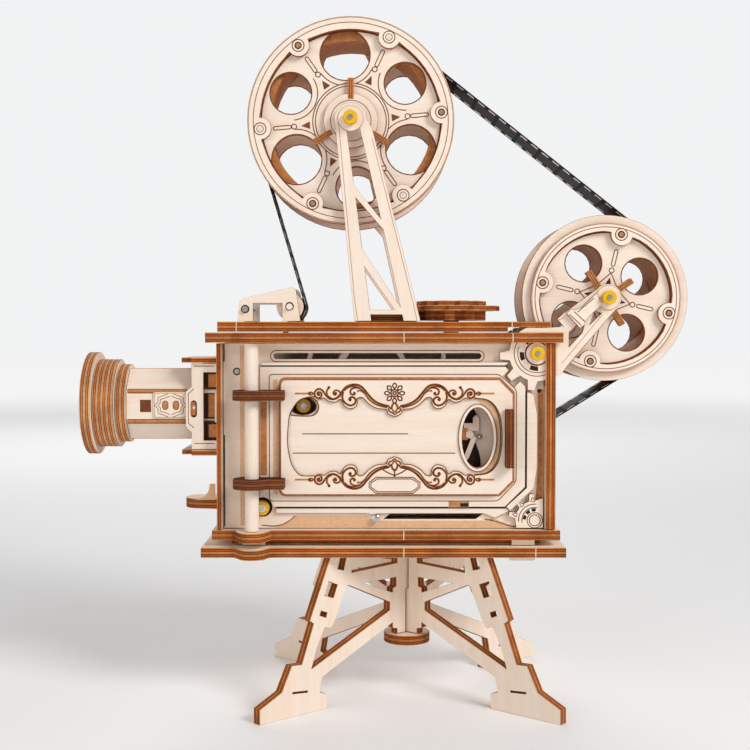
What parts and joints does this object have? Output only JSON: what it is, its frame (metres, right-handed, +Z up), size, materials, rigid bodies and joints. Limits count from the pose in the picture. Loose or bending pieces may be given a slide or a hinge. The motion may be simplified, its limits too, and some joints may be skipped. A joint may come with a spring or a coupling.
{
  "type": "hand cranked wooden film projector model",
  "caption": "Laser cut plywood film projector on a crossed-leg stand, with two spoked reels, a film loop, a sliding lens, a hinged door and a crank behind.",
  "frame": {"origin": "on the floor, under the middle of the bounding box", "axes": "+X from the lens towards the rear reel, +Y from the door towards the crank, +Z up"},
  "size_m": [0.232, 0.1368, 0.2627],
  "materials": {
    "pale_plywood": "unpainted sheet face",
    "burnt_plywood": "laser cut edge",
    "steel": "ground rod",
    "film": "dark film base",
    "lens_glass": "polished"
  },
  "bodies": {
    "frame": {"base_lower_plate": "pale_plywood", "base_spacer_plate": "pale_plywood", "base_upper_plate": "pale_plywood", "chassis_plate": "pale_plywood", "cover_lower_plate": "pale_plywood", "cover_upper_plate": "pale_plywood", "far_side_panel": "pale_plywood", "film_gate": "pale_plywood", "film_loop": "film", "guide_far": "pale_plywood", "guide_near": "pale_plywood", "guide_pin": "steel", "hinge_post": "pale_plywood", "lens_bracket_bottom": "pale_plywood", "lens_bracket_far": "pale_plywood", "lens_bracket_near": "pale_plywood", "lens_bracket_top": "pale_plywood", "lens_shelf": "pale_plywood", "lens_wall": "pale_plywood", "near_side_panel": "pale_plywood", "rear_arm_far": "pale_plywood", "rear_arm_near": "pale_plywood", "rear_arm_pivot": "steel", "rear_reel_axle": "steel", "rear_wall": "pale_plywood", "stand_disc": "pale_plywood", "stand_plate_cross": "pale_plywood", "stand_plate_main": "pale_plywood", "upper_reel_axle": "steel", "upper_stand_far": "pale_plywood", "upper_stand_foot": "burnt_plywood", "upper_stand_near": "pale_plywood"},
    "door": {"door_plate": "pale_plywood", "door_raised_panel": "pale_plywood", "door_handle": "burnt_plywood", "hinge_strap_lower": "burnt_plywood", "hinge_strap_upper": "burnt_plywood"},
    "lens": {"lens_barrel": "pale_plywood", "lens_rear_ring": "pale_plywood", "lens_middle_ring": "pale_plywood", "lens_front_ring": "pale_plywood", "lens_glass": "lens_glass"},
    "upper_reel": {"upper_reel_front_disc": "pale_plywood", "upper_reel_rear_disc": "pale_plywood", "upper_reel_rim_ring": "pale_plywood", "upper_reel_drum": "burnt_plywood"},
    "rear_reel": {"rear_reel_front_disc": "pale_plywood", "rear_reel_rear_disc": "pale_plywood", "rear_reel_rim_ring": "pale_plywood", "rear_reel_drum": "burnt_plywood"},
    "crank": {"crank_axle": "steel", "drive_gear": "pale_plywood", "feed_drum": "pale_plywood", "crank_arm": "pale_plywood"},
    "grip": {"crank_grip": "pale_plywood"},
    "idler": {"idler_gear": "pale_plywood"},
    "shutter": {"shutter_drum": "pale_plywood"},
    "film_roller": {"lower_roller": "pale_plywood"},
    "top_roller": {"guide_roller": "pale_plywood"},
    "knob": {"cog_knob": "pale_plywood"}
  },
  "joints": [
    {"name": "door_hinge", "type": "hinge", "parent": "frame", "child": "door", "pos_m": [-0.05005, -0.05109, 0.0684], "axis": [0, 0, -1], "range_deg": [0, 110]},
    {"name": "lens_slide", "type": "slide", "parent": "frame", "child": "lens", "axis": [-1, 0, 0], "range_m": [-0.0015, 0.004]},
    {"name": "crank_turn", "type": "hinge", "parent": "frame", "child": "crank", "pos_m": [0.03255, -0.01829, 0.104], "axis": [0, 1, 0], "continuous": true},
    {"name": "grip_spin", "type": "hinge", "parent": "crank", "child": "grip", "pos_m": [0.00899, 0.02571, 0.09301], "axis": [0, 1, 0], "continuous": true},
    {"name": "idler_spin", "type": "hinge", "parent": "frame", "child": "idler", "pos_m": [-0.00945, -0.00379, 0.10465], "axis": [0, 1, 0], "continuous": true},
    {"name": "shutter_spin", "type": "hinge", "parent": "frame", "child": "shutter", "pos_m": [-0.03105, -0.01829, 0.1151], "axis": [0, 1, 0], "continuous": true},
    {"name": "upper_reel_spin", "type": "hinge", "parent": "frame", "child": "upper_reel", "pos_m": [-0.01295, -0.02629, 0.2234], "axis": [0, 1, 0], "continuous": true},
    {"name": "rear_reel_spin", "type": "hinge", "parent": "frame", "child": "rear_reel", "pos_m": [0.08425, -0.02629, 0.1562], "axis": [0, 1, 0], "continuous": true},
    {"name": "film_roller_spin", "type": "hinge", "parent": "frame", "child": "film_roller", "pos_m": [-0.04665, -0.02629, 0.0764], "axis": [0, 1, 0], "continuous": true},
    {"name": "top_roller_spin", "type": "hinge", "parent": "frame", "child": "top_roller", "pos_m": [-0.03645, -0.02629, 0.1529], "axis": [0, 1, 0], "continuous": true},
    {"name": "knob_turn", "type": "hinge", "parent": "frame", "child": "knob", "pos_m": [0.02625, -0.02629, 0.1471], "axis": [0, 0, 1], "continuous": true}
  ],
  "couplings": [
    {"joint": "idler_spin", "follows": "crank_turn", "ratio": -1.625},
    {"joint": "shutter_spin", "follows": "crank_turn", "ratio": 3.25},
    {"joint": "upper_reel_spin", "follows": "crank_turn", "ratio": 0.34057},
    {"joint": "rear_reel_spin", "follows": "crank_turn", "ratio": 0.4247},
    {"joint": "film_roller_spin", "follows": "crank_turn", "ratio": 2.3028},
    {"joint": "top_roller_spin", "follows": "crank_turn", "ratio": -2.1826}
  ]
}
